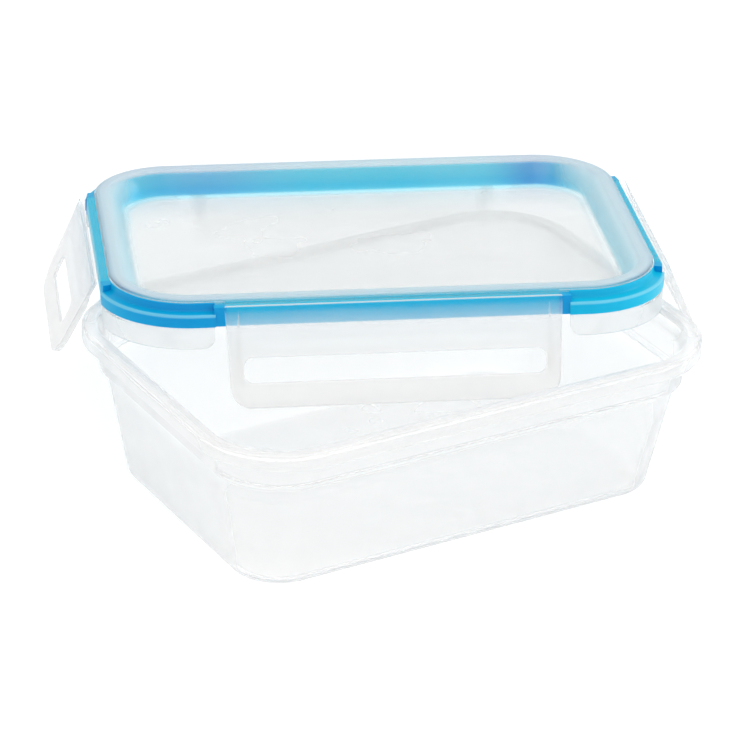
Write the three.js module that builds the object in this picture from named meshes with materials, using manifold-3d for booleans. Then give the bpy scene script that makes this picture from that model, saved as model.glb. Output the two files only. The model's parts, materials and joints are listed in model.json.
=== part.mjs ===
// Rectangular snap-lid food container: moulded container, lid with a raised rim
// and corner skirts, soft seal ring, and four latch flaps hinged on the lid.
// Millimetres, +Z up, +X along the container's long side. The origin is the
// middle of the container's flat base. The lid lies askew on the container's rim
// with its latches open.
import * as THREE from 'three';
import { mergeVertices } from 'three/addons/utils/BufferGeometryUtils.js';
import Module from 'manifold-3d';

const wasm = await Module();
wasm.setup();

// ---------------------------------------------------------------- dimensions
const RIM_L = 209.4;        // container rim, outside length
const RIM_W = 148.0;        // container rim, outside width
const HEIGHT = 62.0;        // container height
const RIM_R = 33.0;         // rim corner radius, outside
const COLLAR_H = 5.9;       // height of the collar under the rim
const NECK_H = 11.7;        // height of the neck under the collar
const NECK_IN = 6.55;       // neck, inset from the rim's outside
const BODY_TOP_IN = 9.15;   // body top, inset from the rim's outside
const BODY_FOOT_IN = 16.2;  // body foot, inset from the rim's outside
const WALL = 1.45;          // container wall
const FLOOR = 1.5;          // container floor

const LID_R = 32.0;         // lid corner radius where its outline equals the rim's
const LIP_OUT = -1.8;       // lid's raised rim, outset from the container rim's outline
const BAND_OUT = 2.2;       // seal band at the corners, outset
const PANEL_TOP = -9.8;     // panel, below the top of the raised rim
const PANEL_UNDER = -11.2;
const BAND_FOOT = -9.8;     // foot of the seal band
const SKIRT_FOOT = -18.3;   // foot of the corner skirts
const LEDGE = -4.9;         // step in the seal band

const HINGE_OUT = 2.2;      // latch hinge line, outset
const HINGE_Z = -1.3;       // latch hinge line, below the top of the raised rim
const WEB_IN = -0.2;        // hinge web, outset of its inner edge
const WEB_T = 0.55;         // hinge web thickness
const LATCH_LEN = 38.0;     // hinge line to the latch's free edge
const LATCH_T = 1.3;        // latch plate
const LONG_HALF = 62.5;     // half width of a long-side latch
const SHORT_HALF = 45.5;    // half width of a short-side latch
const SKIRT_X = 66.0;       // skirts start here on the long sides
const SKIRT_Y = 49.0;       // and here on the short sides

// lid at rest, askew on the rim
const LID_POS = [22.77, 57.26, 75.92];
const LID_YAW = -23.45, LID_PITCH = -4.35, LID_ROLL = -0.60;
// latch openings at rest, from hanging square to the lid
const OPEN_FRONT = 19, OPEN_BACK = 20, OPEN_LEFT = 26, OPEN_RIGHT = 24;

const SEG = 8;              // facets in a quarter circle
const rad = THREE.MathUtils.degToRad;

// ---------------------------------------------------------------- shape helpers
function outlinePoints(l, w, r) {
  const pts = [];
  const corners = [[1, 1, 0], [-1, 1, 90], [-1, -1, 180], [1, -1, 270]];
  for (const [sx, sy, a0] of corners) {
    for (let i = 0; i <= SEG; i++) {
      const a = rad(a0 + 90 * i / SEG);
      pts.push(new THREE.Vector2(sx * (l / 2 - r) + r * Math.cos(a), sy * (w / 2 - r) + r * Math.sin(a)));
    }
  }
  return pts;
}
// outline of the container (inset) or the lid (outset) family
const contOutline = (inset, r) => outlinePoints(RIM_L - 2 * inset, RIM_W - 2 * inset, r ?? RIM_R - inset);
const lidOutline = (out, r) => outlinePoints(RIM_L + 2 * out, RIM_W + 2 * out, r ?? LID_R + out);

// a drafted solid: an extruded rounded rectangle whose outline changes with height
function drafted(stations, outline) {
  const ref = outlinePoints(200, 140, 30);
  const n = stations.length - 1;
  const geo = new THREE.ExtrudeGeometry(new THREE.Shape(ref), { depth: n, steps: n, bevelEnabled: false });
  const rings = stations.map(([z, o, r]) => outline(o, r));
  const pos = geo.attributes.position;
  for (let i = 0; i < pos.count; i++) {
    const x = pos.getX(i), y = pos.getY(i), s = Math.round(pos.getZ(i));
    let k = 0, best = Infinity;
    for (let j = 0; j < ref.length; j++) {
      const d = (ref[j].x - x) ** 2 + (ref[j].y - y) ** 2;
      if (d < best) { best = d; k = j; }
    }
    pos.setXYZ(i, rings[s][k].x, rings[s][k].y, stations[s][0]);
  }
  return solid(geo);
}
function solid(geo) {
  let g = geo.index ? geo.toNonIndexed() : geo.clone();
  g.deleteAttribute('normal');
  g.deleteAttribute('uv');
  g = mergeVertices(g, 1e-4);
  return new wasm.Manifold(new wasm.Mesh({
    numProp: 3,
    vertProperties: Float32Array.from(g.attributes.position.array),
    triVerts: Uint32Array.from(g.index.array),
  }));
}
function block(x0, x1, y0, y1, z0, z1) {
  const g = new THREE.BoxGeometry(x1 - x0, y1 - y0, z1 - z0);
  g.translate((x0 + x1) / 2, (y0 + y1) / 2, (z0 + z1) / 2);
  return solid(g);
}
// a prism along Y from a shape drawn in X and Z
function prismY(points, y0, y1) {
  const g = new THREE.ExtrudeGeometry(new THREE.Shape(points.map(([x, z]) => new THREE.Vector2(x, z))),
    { depth: y1 - y0, bevelEnabled: false });
  g.rotateX(Math.PI / 2);
  g.translate(0, y1, 0);
  return solid(g);
}
// a prism along X from a shape drawn in Y and Z
function prismX(points, x0, x1) {
  const g = new THREE.ExtrudeGeometry(new THREE.Shape(points.map(([y, z]) => new THREE.Vector2(y, z))),
    { depth: x1 - x0, bevelEnabled: false });
  g.rotateX(Math.PI / 2);
  g.rotateZ(Math.PI / 2);
  g.translate(x0, 0, 0);
  return solid(g);
}
const lidSolid = (stations) => drafted(stations, lidOutline);
const lidBand = (outer, inner, z0, z1) =>
  lidSolid([[z0, outer], [z1, outer]]).subtract(lidSolid([[z0 - 1, inner], [z1 + 1, inner]]));
function mesh(name, manifold, colour, roughness, opacity = 1) {
  const m = manifold.getMesh();
  const g = new THREE.BufferGeometry();
  g.setAttribute('position', new THREE.BufferAttribute(Float32Array.from(m.vertProperties), 3));
  g.setIndex(new THREE.BufferAttribute(Uint32Array.from(m.triVerts), 1));
  g.computeVertexNormals();
  const mat = new THREE.MeshStandardMaterial({ color: colour, roughness, metalness: 0,
    transparent: opacity < 1, opacity });
  const out = new THREE.Mesh(g, mat);
  out.name = name;
  return out;
}

// ---------------------------------------------------------------- container
const neckZ = HEIGHT - COLLAR_H;          // underside of the collar
const ledgeZ = neckZ - NECK_H;            // underside of the neck
function makeContainer() {
  const outside = drafted([
    [0.0, BODY_FOOT_IN + 2.9, 16.2],
    [0.7, BODY_FOOT_IN + 1.3, 17.8],
    [1.7, BODY_FOOT_IN + 0.5, 18.7],
    [3.4, BODY_FOOT_IN, 19.4],
    [ledgeZ - 0.5, BODY_TOP_IN, 23.9],
    [ledgeZ + 0.3, NECK_IN, 26.4],
    [neckZ - 0.05, NECK_IN, 26.4],
    [neckZ + 0.05, 0.05, 33.0],
    [HEIGHT - 0.9, 0.0, 33.0],
    [HEIGHT - 0.3, 0.45, 32.6],
    [HEIGHT, 1.5, 31.6],
  ], contOutline);
  const inside = drafted([
    [FLOOR, BODY_FOOT_IN + 4.2, 14.9],
    [FLOOR + 0.7, BODY_FOOT_IN + 2.7, 16.4],
    [FLOOR + 2.4, BODY_FOOT_IN + WALL, 17.9],
    [ledgeZ + 0.6, BODY_TOP_IN + WALL, 22.5],
    [ledgeZ + 1.5, NECK_IN + WALL, 24.9],
    [neckZ + 0.2, NECK_IN + WALL, 24.9],
    [HEIGHT - 0.9, 6.4, 26.5],
    [HEIGHT - 0.25, 6.0, 27.0],
    [HEIGHT + 0.01, 5.1, 27.9],
    [HEIGHT + 1, 5.1, 27.9],
  ], contOutline);
  // the collar is an upside-down channel, open underneath
  const channel = drafted([[neckZ - 2, 1.4, 31.6], [HEIGHT - 1.7, 1.5, 31.5]], contOutline)
    .subtract(drafted([[neckZ - 3, NECK_IN - 0.0, 26.4], [neckZ + 0.3, NECK_IN, 26.4], [HEIGHT, 5.0, 28.0]], contOutline));
  const neckGuard = drafted([[neckZ - 3, NECK_IN, 26.4], [neckZ, NECK_IN, 26.4]], contOutline);
  return outside.subtract(inside).subtract(channel.subtract(neckGuard));
}

// ---------------------------------------------------------------- lid shell
// latch gaps, with rounded lower corners on the skirts beside them
function gapShape(half, r) {
  const pts = [[half, -5.4], [half, SKIRT_FOOT + r]];
  for (let i = 1; i <= 5; i++) {
    const a = rad(90 * i / 5);
    pts.push([half + r - r * Math.cos(a), SKIRT_FOOT + r - r * Math.sin(a)]);
  }
  pts.push([half + r, SKIRT_FOOT - 4]);
  const left = pts.map(([x, z]) => [-x, z]).reverse();
  return left.concat([...pts]).reverse();
}
function forSides(fn) {
  // long sides first: front (-Y), back (+Y), then left (-X), right (+X)
  const y = RIM_W / 2, x = RIM_L / 2;
  return [
    fn('y', -1, y), fn('y', 1, y), fn('x', -1, x), fn('x', 1, x),
  ];
}
// a block beside one lid side: |along| <= half, between two outsets and two heights
function sideBlock(axis, sign, edge, half, outA, outB, z0, z1) {
  const a = sign * (edge + outA), b = sign * (edge + outB);
  const lo = Math.min(a, b), hi = Math.max(a, b);
  return axis === 'y' ? block(-half, half, lo, hi, z0, z1) : block(lo, hi, -half, half, z0, z1);
}
function makeLidShell() {
  const raised = lidSolid([
    [-7.1, -2.9], [-1.5, -2.9], [-1.15, LIP_OUT], [-0.55, LIP_OUT - 0.05],
    [-0.15, LIP_OUT - 0.6], [0, LIP_OUT - 1.7],
  ]).subtract(lidSolid([[-8, -4.2], [-1.5, -4.2]]));
  const bowl = lidSolid([[PANEL_UNDER, -12.9], [PANEL_UNDER + 0.8, -12.1], [-1.4, -7.0], [-0.5, -7.0]]);
  const dish = lidSolid([[PANEL_TOP, -14.9], [PANEL_TOP + 0.9, -13.4], [-2.2, -9.1], [-0.6, -8.2], [0.01, -6.9], [1, -6.9]]);
  const flange = lidBand(1.2, -3.4, -7.1, -5.9);
  const skirtTop = lidBand(1.2, 0.3, -11.0, -6.6);
  const skirt = lidBand(1.9, 0.6, SKIRT_FOOT, -10.1);
  let corners = flange.add(skirtTop).add(skirt);
  // clear the flange and skirts beside and over the latches
  for (const s of forSides((axis, sign, edge) => {
    const half = axis === 'y' ? SKIRT_X : SKIRT_Y;
    const shape = gapShape(half, 4);
    const lo = edge - 2.92, hi = edge + 6;
    const [a, b] = sign > 0 ? [lo, hi] : [-hi, -lo];
    return axis === 'y' ? prismY(shape, a, b) : prismX(shape, a, b);
  })) corners = corners.subtract(s);
  let lid = raised.add(bowl).subtract(dish).add(corners);
  for (const s of forSides((axis, sign, edge) => {
    const latchHalf = axis === 'y' ? LONG_HALF : SHORT_HALF;
    // short flange under the band, and the land that carries the hinge
    return sideBlock(axis, sign, edge, latchHalf + 0.1, -3.4, 0.05, -7.1, -5.9)
      .add(sideBlock(axis, sign, edge, latchHalf - 0.4, -3.4, WEB_IN - 0.3, -2.2, -1.2));
  })) lid = lid.add(s);
  return lid;
}

// ---------------------------------------------------------------- seal ring
function makeSeal() {
  // outer band at the corners: upper wall, ledge and lower wall
  const upper = lidBand(LIP_OUT - 0.05, -2.62, -5.6, -1.75);
  const ledge = lidSolid([[-5.6, BAND_OUT], [LEDGE - 0.25, BAND_OUT], [LEDGE, BAND_OUT - 0.35]])
    .subtract(lidSolid([[-7, -2.62], [0, -2.62]]));
  const lower = lidBand(BAND_OUT, 1.5, BAND_FOOT, -5.5);
  let band = upper.add(ledge).add(lower);
  for (const s of forSides((axis, sign, edge) => {
    const half = axis === 'y' ? SKIRT_X : SKIRT_Y;
    return sideBlock(axis, sign, edge, half - 1.3, -5, 6, -12, -0.5);
  })) band = band.subtract(s);
  // inner gasket: fills the groove under the raised rim and faces the container's rim
  const gasket = lidSolid([[-8.3, -0.3], [-8.1, -0.1], [-7.4, -0.1]])
    .subtract(lidSolid([[-9, -7.4], [-8.2, -7.6], [-7, -7.6]]));
  // its core fills the groove and lines the back of the rim's inner slope
  const core = lidSolid([[-8.2, -4.5], [-5.2, -4.5], [-2.0, -6.3]])
    .add(lidSolid([[-10.6, -10.6], [-8.2, -7.8], [-8.0, -4.5]]))
    .subtract(lidSolid([[-11, -12.0], [-10.4, -11.7], [-1.4, -6.6]]));
  let ring = gasket.add(core).add(band);
  for (const s of forSides((axis, sign, edge) => {
    const skirtHalf = axis === 'y' ? SKIRT_X : SKIRT_Y;
    const latchHalf = axis === 'y' ? LONG_HALF : SHORT_HALF;
    // behind the latch: block between the hinge land and the flange, and the wall below it
    const behind = sideBlock(axis, sign, edge, latchHalf - 0.3, -2.62, 1.0, -5.6, -2.5)
      .add(sideBlock(axis, sign, edge, latchHalf - 0.3, 0.35, 1.0, BAND_FOOT, -5.5));
    // beside the latch: the soft material runs through a notch in the flange to the gasket
    const a = latchHalf + 0.4, b = skirtHalf - 0.3;
    const one = (lo, hi) => {
      const full = (outA, outB, z0, z1) => {
        const p = sign * (edge + outA), q = sign * (edge + outB);
        const m = Math.min(p, q), n = Math.max(p, q);
        return axis === 'y' ? block(lo, hi, m, n, z0, z1) : block(m, n, lo, hi, z0, z1);
      };
      return full(-2.62, 1.5, -7.9, -2.4).add(full(0.35, 1.5, BAND_FOOT, -6));
    };
    return behind.add(one(a, b)).add(one(-b, -a))
      .add(sideBlock(axis, sign, edge, b - 0.1, -2.62, 1.0, -5.6, -2.9));
  })) ring = ring.add(s);
  return ring;
}

// ---------------------------------------------------------------- hinge web
// the thin flexible strip that joins a latch to the lid's land
function makeWeb(axis, sign, edge, latchHalf) {
  return sideBlock(axis, sign, edge, latchHalf - 0.4, WEB_IN, HINGE_OUT - LATCH_T / 2 - 0.3, HINGE_Z - WEB_T / 2, HINGE_Z + WEB_T / 2);
}

// ---------------------------------------------------------------- latch
// drawn hanging from its hinge line: X along the hinge, -Y outward, -Z down
function makeLatch(half, slotHalf, hookHalf, taper, r) {
  const top = -0.35, foot = half - taper;
  const shape = new THREE.Shape();
  shape.moveTo(-half, top);
  shape.lineTo(-foot, -LATCH_LEN + r);
  shape.absarc(-foot + r, -LATCH_LEN + r, r, Math.PI, 1.5 * Math.PI, false);
  shape.lineTo(foot - r, -LATCH_LEN);
  shape.absarc(foot - r, -LATCH_LEN + r, r, 1.5 * Math.PI, 2 * Math.PI, false);
  shape.lineTo(half, top);
  const slot = new THREE.Path();
  const s0 = -28.6, s1 = -19.4, sr = 3.6;
  slot.absarc(-slotHalf + sr, s1 - sr, sr, Math.PI, Math.PI / 2, true);
  slot.absarc(slotHalf - sr, s1 - sr, sr, Math.PI / 2, 0, true);
  slot.absarc(slotHalf - sr, s0 + sr, sr, 0, -Math.PI / 2, true);
  slot.absarc(-slotHalf + sr, s0 + sr, sr, -Math.PI / 2, -Math.PI, true);
  shape.holes.push(slot);
  const plate = new THREE.ExtrudeGeometry(shape, { depth: LATCH_T, bevelEnabled: false, curveSegments: 5 });
  plate.rotateX(Math.PI / 2);
  plate.translate(0, LATCH_T / 2, 0);
  let latch = solid(plate);
  // stiffening lip round the sides and the free edge, on the inner face
  const lipOuter = new THREE.Shape();
  const w = half - 0.12 - taper * (9.8 + top) / (LATCH_LEN - r + top);
  lipOuter.moveTo(-w, -9.8);
  lipOuter.lineTo(-foot, -LATCH_LEN + r);
  lipOuter.absarc(-foot + r, -LATCH_LEN + r + 0.3, r, Math.PI, 1.5 * Math.PI, false);
  lipOuter.lineTo(foot - r, -LATCH_LEN + 0.3);
  lipOuter.absarc(foot - r, -LATCH_LEN + r + 0.3, r, 1.5 * Math.PI, 2 * Math.PI, false);
  lipOuter.lineTo(w, -9.8);
  lipOuter.lineTo(w - 1.2, -9.8);
  lipOuter.lineTo(foot - 1.2, -LATCH_LEN + r + 1.2);
  lipOuter.absarc(foot - r, -LATCH_LEN + r + 0.3, r - 1.2, 0, -Math.PI / 2, true);
  lipOuter.lineTo(-foot + r, -LATCH_LEN + 1.5);
  lipOuter.absarc(-foot + r, -LATCH_LEN + r + 0.3, r - 1.2, 1.5 * Math.PI, Math.PI, true);
  lipOuter.lineTo(-w + 1.2, -9.8);
  const lip = new THREE.ExtrudeGeometry(lipOuter, { depth: 1.6, bevelEnabled: false, curveSegments: 5 });
  lip.rotateX(Math.PI / 2);
  lip.translate(0, 1.75, 0);
  latch = latch.add(solid(lip));
  // hook rib that snaps under the container's collar
  const hook = prismX([[0.5, -13.5], [2.7, -13.6], [2.95, -13.9], [2.2, -15.2], [0.5, -16.6]], -hookHalf, hookHalf);
  latch = latch.add(hook);
  // rounded edge along the hinge line
  const knuckle = new THREE.CylinderGeometry(LATCH_T / 2, LATCH_T / 2, 2 * half - 0.2, 12);
  knuckle.rotateZ(Math.PI / 2);
  return latch.add(solid(knuckle));
}

// ---------------------------------------------------------------- assembly
const root = new THREE.Group();
root.add(mesh('container', makeContainer(), 0xf3f6f8, 0.35, 0.55));

const lid = new THREE.Group();
lid.position.set(...LID_POS);
lid.rotation.set(rad(LID_PITCH), rad(LID_ROLL), rad(LID_YAW), 'ZXY');
lid.add(mesh('lid_shell', makeLidShell(), 0xf0f4f7, 0.3, 0.5));
lid.add(mesh('seal_ring', makeSeal(), 0x0b93d8, 0.35));

const webNames = ['hinge_web_front', 'hinge_web_back', 'hinge_web_left', 'hinge_web_right'];
forSides((axis, sign, edge) => makeWeb(axis, sign, edge, axis === 'y' ? LONG_HALF : SHORT_HALF))
  .forEach((web, i) => lid.add(mesh(webNames[i], web, 0xeef3f6, 0.3, 0.5)));

const latches = [
  ['latch_front', 0, OPEN_FRONT, LONG_HALF, 56, 50, 1.2, 8, [0, -(RIM_W / 2 + HINGE_OUT)]],
  ['latch_right', 90, OPEN_RIGHT, SHORT_HALF, 26, 32, 4.5, 13, [RIM_L / 2 + HINGE_OUT, 0]],
  ['latch_back', 180, OPEN_BACK, LONG_HALF, 56, 50, 1.2, 8, [0, RIM_W / 2 + HINGE_OUT]],
  ['latch_left', -90, OPEN_LEFT, SHORT_HALF, 26, 32, 4.5, 13, [-(RIM_L / 2 + HINGE_OUT), 0]],
];
for (const [name, side, open, half, slotHalf, hookHalf, taper, r, [px, py]] of latches) {
  const hinge = new THREE.Group();
  hinge.position.set(px, py, HINGE_Z);
  hinge.rotation.set(0, 0, rad(side));
  const flap = mesh(name, makeLatch(half, slotHalf, hookHalf, taper, r), 0xeef3f6, 0.3, 0.5);
  flap.rotation.set(rad(-open), 0, 0);
  hinge.add(flap);
  lid.add(hinge);
}
root.add(lid);

export default root;
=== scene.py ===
import json
import math

import bmesh
import bpy
import numpy as np
from mathutils import Matrix, Vector


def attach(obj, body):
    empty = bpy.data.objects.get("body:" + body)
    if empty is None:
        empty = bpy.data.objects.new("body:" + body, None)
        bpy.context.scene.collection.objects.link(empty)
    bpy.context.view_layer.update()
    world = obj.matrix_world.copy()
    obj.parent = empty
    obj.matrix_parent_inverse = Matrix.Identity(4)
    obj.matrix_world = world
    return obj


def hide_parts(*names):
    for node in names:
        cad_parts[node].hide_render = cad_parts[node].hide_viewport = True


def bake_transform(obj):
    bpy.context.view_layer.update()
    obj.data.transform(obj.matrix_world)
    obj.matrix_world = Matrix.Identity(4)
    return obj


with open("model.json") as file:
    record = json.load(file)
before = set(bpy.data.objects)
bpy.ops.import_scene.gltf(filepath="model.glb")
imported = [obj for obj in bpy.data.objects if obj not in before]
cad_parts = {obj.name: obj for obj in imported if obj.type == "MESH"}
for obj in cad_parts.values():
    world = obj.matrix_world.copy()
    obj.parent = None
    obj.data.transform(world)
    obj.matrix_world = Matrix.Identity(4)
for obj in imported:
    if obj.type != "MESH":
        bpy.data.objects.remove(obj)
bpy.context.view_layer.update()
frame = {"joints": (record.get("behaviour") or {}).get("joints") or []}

MM = 0.001

# ------------------------------------------------------------------ dimensions, mm
RIM_L, RIM_W, HEIGHT, RIM_R = 209.4, 148.0, 62.0, 33.0
COLLAR_H, NECK_H = 5.9, 11.7
NECK_IN, BODY_TOP_IN, BODY_FOOT_IN = 6.55, 9.15, 16.2
WALL, FLOOR = 1.45, 1.5
LID_R = 32.0
LIP_OUT, BAND_OUT = -1.8, 2.2
PANEL_TOP, PANEL_UNDER = -9.8, -11.2
BAND_FOOT, SKIRT_FOOT, LEDGE = -9.8, -18.3, -4.9
HINGE_OUT, HINGE_Z = 2.2, -1.3
LATCH_LEN, LATCH_T = 38.0, 1.3
LONG_HALF, SHORT_HALF = 62.5, 45.5
SKIRT_X, SKIRT_Y = 66.0, 49.0


# ------------------------------------------------------------------ where the lid lies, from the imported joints
def joint(name):
    for j in frame["joints"]:
        if j["name"] == name:
            return Vector(j["pos_m"]), Vector(j["axis"]).normalized()
    raise RuntimeError("no joint " + name)


front_pos, front_axis = joint("latch_front_hinge")
back_pos, _ = joint("latch_back_hinge")
right_pos, right_axis = joint("latch_right_hinge")
left_pos, left_axis = joint("latch_left_hinge")
LX = -front_axis
LY = (back_pos - front_pos).normalized()
LZ = LX.cross(LY).normalized()
LY = LZ.cross(LX).normalized()
LR = Matrix((LX, LY, LZ)).transposed()
LT = (front_pos + back_pos) / 2 - LR @ Vector((0, 0, HINGE_Z * MM))
LID = Matrix.Translation(LT) @ LR.to_4x4()


# ------------------------------------------------------------------ mesh helpers
def build(name, verts, faces, matrix=None, sharp=32, merge=0.0008):
    """A shaded mesh object from millimetre vertices, closed and with outward faces."""
    me = bpy.data.meshes.new(name)
    v = np.asarray(verts, float) * MM
    me.from_pydata(v.tolist(), [], [tuple(int(i) for i in f) for f in faces])
    bm = bmesh.new()
    bm.from_mesh(me)
    bmesh.ops.remove_doubles(bm, verts=bm.verts, dist=merge * MM)
    bmesh.ops.dissolve_degenerate(bm, edges=bm.edges, dist=1e-7)
    bmesh.ops.recalc_face_normals(bm, faces=bm.faces)
    bm.to_mesh(me)
    bm.free()
    if matrix is not None:
        me.transform(matrix)
    o = bpy.data.objects.new(name, me)
    bpy.context.scene.collection.objects.link(o)
    shade(o, sharp)
    return o


def shade(o, angle=32):
    me = o.data
    me.polygons.foreach_set("use_smooth", [True] * len(me.polygons))
    me.set_sharp_from_angle(angle=math.radians(angle))
    me.update()


def union(base, others):
    """One closed body from several that overlap."""
    for k in others:
        m = base.modifiers.new("join", "BOOLEAN")
        m.operation = "UNION"
        m.solver = "EXACT"
        m.material_mode = "TRANSFER"
        m.object = k
    dg = bpy.context.evaluated_depsgraph_get()
    dg.update()
    me = bpy.data.meshes.new_from_object(base.evaluated_get(dg))
    base.modifiers.clear()
    old = base.data
    base.data = me
    bpy.data.meshes.remove(old)
    for k in others:
        bpy.data.objects.remove(k)
    bm = bmesh.new()
    bm.from_mesh(me)
    bmesh.ops.remove_doubles(bm, verts=bm.verts, dist=2e-6)
    bmesh.ops.dissolve_degenerate(bm, edges=bm.edges, dist=1e-7)
    bm.to_mesh(me)
    bm.free()
    shade(base)
    return base


def rounded(points, radii, n=4):
    """A closed or open chain of 2-D points with its corners rounded. radii is one number per point."""
    out = []
    m = len(points)
    for i in range(m):
        p = np.array(points[i], float)
        r = radii[i] if hasattr(radii, "__len__") else radii
        a = np.array(points[(i - 1) % m], float) - p
        b = np.array(points[(i + 1) % m], float) - p
        la, lb = np.linalg.norm(a), np.linalg.norm(b)
        if r <= 0 or la < 1e-9 or lb < 1e-9:
            out.append(tuple(p))
            continue
        a, b = a / la, b / lb
        ang = math.acos(max(-1, min(1, float(a @ b))))
        if ang > math.radians(172):
            out.append(tuple(p))
            continue
        t = r / math.tan(ang / 2)
        t = min(t, 0.48 * la, 0.48 * lb)
        r = t * math.tan(ang / 2)
        c = p + (a + b) / np.linalg.norm(a + b) * (r / math.sin(ang / 2))
        s, e = p + a * t, p + b * t
        a0 = math.atan2(*(s - c)[::-1])
        a1 = math.atan2(*(e - c)[::-1])
        d = (a1 - a0 + math.pi) % (2 * math.pi) - math.pi
        for k in range(n + 1):
            q = a0 + d * k / n
            out.append((c[0] + r * math.cos(q), c[1] + r * math.sin(q)))
    return out


def rr_ring(hx, hy, r, nc=16, ns=6):
    """A rounded rectangle as points, counter-clockwise, the same count whatever its size."""
    pts = []
    cs = [(1, 1, 0), (-1, 1, 90), (-1, -1, 180), (1, -1, 270)]
    for k, (sx, sy, a0) in enumerate(cs):
        cx, cy = sx * (hx - r), sy * (hy - r)
        arc = [(cx + r * math.cos(math.radians(a0 + 90 * i / nc)),
                cy + r * math.sin(math.radians(a0 + 90 * i / nc))) for i in range(nc + 1)]
        pts += arc
        nx, ny, na = cs[(k + 1) % 4]
        a = math.radians(na)
        nxt = (nx * (hx - r) + r * math.cos(a), ny * (hy - r) + r * math.sin(a))
        for i in range(1, ns):
            t = i / ns
            pts.append((arc[-1][0] * (1 - t) + nxt[0] * t, arc[-1][1] * (1 - t) + nxt[1] * t))
    return pts


def loft(rings, closed=False, cap_start=True, cap_end=True):
    """Faces over rings of equal length. closed joins the last ring to the first; caps close to a middle point."""
    n = len(rings[0])
    verts = [p for r in rings for p in r]
    faces = []
    m = len(rings)
    for j in range(m if closed else m - 1):
        a, b = j * n, ((j + 1) % m) * n
        for i in range(n):
            k = (i + 1) % n
            faces.append((a + i, a + k, b + k, b + i))
    if not closed:
        for ring, base, on in ((0, 0, cap_start), (m - 1, (m - 1) * n, cap_end)):
            if on:
                c = np.mean(np.array(rings[ring], float), axis=0)
                verts.append(tuple(c))
                ci = len(verts) - 1
                for i in range(n):
                    faces.append((base + i, base + (i + 1) % n, ci))
    return verts, faces


# the lid's reference outline, as a path: distance along it -> point and outward direction
HX, HY = RIM_L / 2, RIM_W / 2
ARC = LID_R * math.pi / 2
SX, SY = 2 * (HX - LID_R), 2 * (HY - LID_R)      # straight lengths
PERIM = 2 * (SX + SY) + 4 * ARC
# the path starts at the middle of the right side and runs counter-clockwise
SIDES = {"right": 0.0, "back": SY / 2 + ARC + SX / 2, "left": SY + 2 * ARC + SX,
         "front": SY + SY / 2 + 3 * ARC + SX + SX / 2}


def on_path(s):
    s = s % PERIM
    segs = [("l", (HX, 0), (0, 1), SY / 2), ("a", (HX - LID_R, HY - LID_R), 0, ARC),
            ("l", (HX - LID_R, HY), (-1, 0), SX), ("a", (-HX + LID_R, HY - LID_R), 90, ARC),
            ("l", (-HX, HY - LID_R), (0, -1), SY), ("a", (-HX + LID_R, -HY + LID_R), 180, ARC),
            ("l", (-HX + LID_R, -HY), (1, 0), SX), ("a", (HX - LID_R, -HY + LID_R), 270, ARC),
            ("l", (HX, -HY + LID_R), (0, 1), SY / 2)]
    for kind, p, q, ln in segs:
        if s <= ln + 1e-9:
            if kind == "l":
                return (p[0] + q[0] * s, p[1] + q[1] * s), (q[1], -q[0])
            a = math.radians(q) + s / LID_R
            return (p[0] + LID_R * math.cos(a), p[1] + LID_R * math.sin(a)), (math.cos(a), math.sin(a))
        s -= ln
    return on_path(0)


def stops(s0, s1, fine=1.7, coarse=12.0):
    """Distances along the path between s0 and s1: close together on the corners, far apart on the straights."""
    edges = []
    base = [SY / 2, SY / 2 + ARC, SY / 2 + ARC + SX, SY / 2 + 2 * ARC + SX, SY / 2 + 2 * ARC + SX + SY,
            SY / 2 + 3 * ARC + SX + SY, SY / 2 + 3 * ARC + 2 * SX + SY, SY / 2 + 4 * ARC + 2 * SX + SY]
    for k in range(-1, 3):
        for i, b in enumerate(base):
            edges.append((b + k * PERIM, i % 2 == 0))      # an arc starts at even entries
    cuts = sorted([e for e in edges if s0 < e[0] < s1])
    inside_arc = False
    for e in sorted(edges):
        if e[0] <= s0 + 1e-9:
            inside_arc = e[1]
    out, a = [s0], s0
    for b, starts in cuts + [(s1, None)]:
        step = fine if inside_arc else coarse
        n = max(1, int(math.ceil((b - a) / step)))
        out += [a + (b - a) * (i + 1) / n for i in range(n)]
        a = b
        if starts is not None:
            inside_arc = starts
    return out


def painted(o, mat):
    o.data.materials.clear()
    o.data.materials.append(mat)
    return o


def sweep(section, s0=None, s1=None, matrix=None, name="sweep", extra=(), fine=1.7):
    """A closed section (outset, z) carried along the lid's outline. section may be a function of distance."""
    whole = s0 is None
    ss = stops(0, PERIM, fine)[:-1] if whole else stops(s0, s1, fine)
    if extra:
        ss = sorted(set(ss) | set(e for e in extra if whole or s0 < e < s1))
    rings = []
    for s in ss:
        sec = section(s) if callable(section) else section
        (x, y), (nx, ny) = on_path(s)
        rings.append([(x + nx * o, y + ny * o, z) for o, z in sec])
    n = len(rings[0])
    verts = [p for r in rings for p in r]
    faces = []
    m = len(rings)
    for j in range(m if whole else m - 1):
        a, b = j * n, ((j + 1) % m) * n
        for i in range(n):
            k = (i + 1) % n
            faces.append((a + i, a + k, b + k, b + i))
    if not whole:
        faces.append(tuple(range(n)))
        faces.append(tuple(range((m - 1) * n, m * n)))
    return build(name, verts, faces, matrix)


# ------------------------------------------------------------------ materials
def nodes_of(name):
    m = bpy.data.materials.new(name)
    m.use_nodes = True
    nt = m.node_tree
    nt.nodes.clear()
    return m, nt


def add(nt, kind, **kw):
    n = nt.nodes.new(kind)
    for k, v in kw.items():
        if k in n.inputs:
            n.inputs[k].default_value = v
        else:
            setattr(n, k, v)
    return n


def link(nt, a, b):
    nt.links.new(a, b)


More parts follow.
